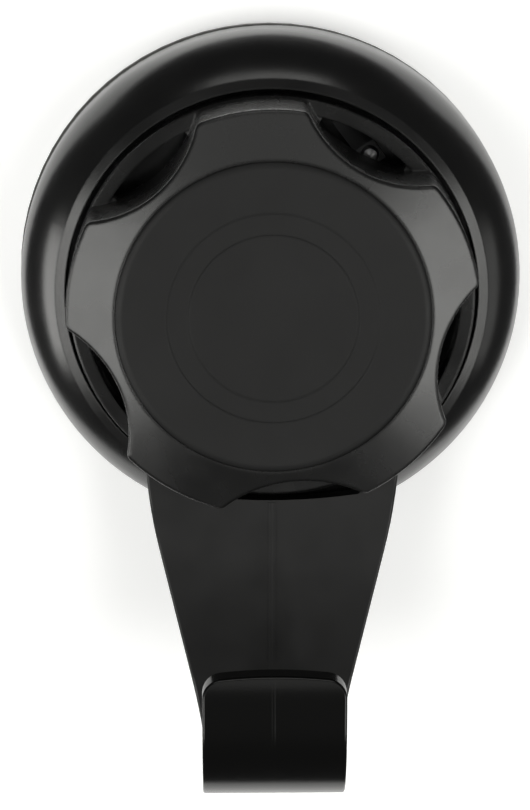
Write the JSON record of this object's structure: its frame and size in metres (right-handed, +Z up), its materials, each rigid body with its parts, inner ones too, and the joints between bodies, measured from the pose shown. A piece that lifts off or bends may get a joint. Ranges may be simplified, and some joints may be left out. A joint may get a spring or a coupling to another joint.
{
  "type": "twist-lock suction hook",
  "caption": "Black plastic suction hook: a round pad and housing, a lobed locking knob with a flat cap, and a J-shaped hook arm below.",
  "frame": {"origin": "centre of the suction face, on the wall plane", "axes": "+Z up along the wall, +Y into the wall, -Y out of the wall towards the user, +X to the right seen from the front"},
  "size_m": [0.0904, 0.0563, 0.1306],
  "materials": {
    "black_shell": "satin black moulded ABS",
    "black_knob": "satin black moulded ABS",
    "black_cap": "fine matt black ABS",
    "pad_rubber": "soft black TPU",
    "gel": "tacky smoke-grey gel",
    "cam_plastic": "black acetal",
    "core_plastic": "dark grey polypropylene",
    "steel": "zinc-plated steel"
  },
  "bodies": {
    "root": {"housing": "black_shell", "hook_arm": "black_shell", "hook_screws": "steel", "stud_bush": "cam_plastic", "thrust_washer": "steel", "spring_washer": "steel", "return_spring": "steel", "knob_retainer": "steel", "retainer_screws": "steel", "click_pawl": "cam_plastic", "pawl_screw": "steel", "suction_pad": "pad_rubber", "gel_layer": "gel"},
    "knob": {"knob": "black_knob", "knob_cap": "black_cap", "cam_ring": "cam_plastic", "cam_screws": "steel"},
    "stud": {"draw_stud": "steel", "cross_pin": "steel", "pin_rollers": "cam_plastic", "pad_core": "core_plastic"}
  },
  "joints": [
    {"name": "knob_turn", "type": "hinge", "parent": "root", "child": "knob", "pos_m": [0, 0, 0], "axis": [0, 1, 0], "range_deg": [0, 90]},
    {"name": "stud_pull", "type": "slide", "parent": "root", "child": "stud", "axis": [0, -1, 0], "range_m": [0, 0.005], "deforming": ["return_spring", "suction_pad", "gel_layer"]}
  ],
  "couplings": [
    {"joint": "stud_pull", "follows": "knob_turn", "m_per_rad": 0.0031831}
  ]
}
